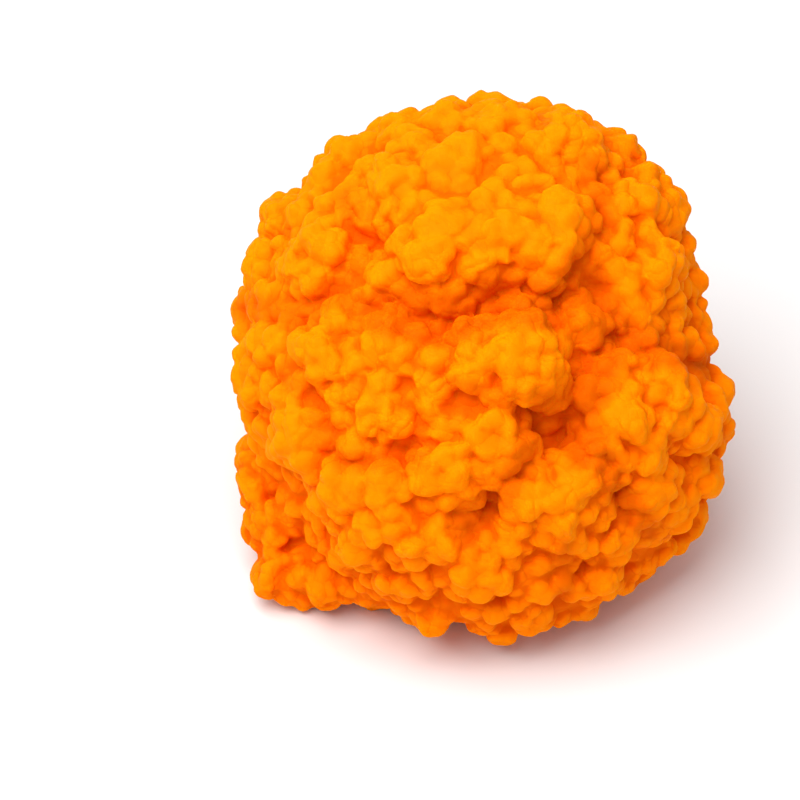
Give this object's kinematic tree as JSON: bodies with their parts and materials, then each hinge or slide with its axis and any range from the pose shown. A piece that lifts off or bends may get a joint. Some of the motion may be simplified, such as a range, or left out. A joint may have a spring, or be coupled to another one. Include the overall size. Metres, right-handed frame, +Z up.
{
  "type": "golden ear fungus",
  "caption": "Round orange head of crowded knobbly lobes with deep folds, cut flat underneath so that it stands.",
  "frame": {"origin": "middle of the flat cut base, on the surface that the head stands on", "axes": "+Z up out of the cut base, -Y towards the viewer and the face, +X to the right of the face"},
  "size_m": [0.1294, 0.1278, 0.1172],
  "materials": {
    "golden_flesh": "moist satin, soft and faintly translucent, golden orange on the lobes and redder in the folds, pale yellow on the cut base"
  },
  "bodies": {
    "root": {"fruit_body": "golden_flesh"}
  },
  "joints": []
}
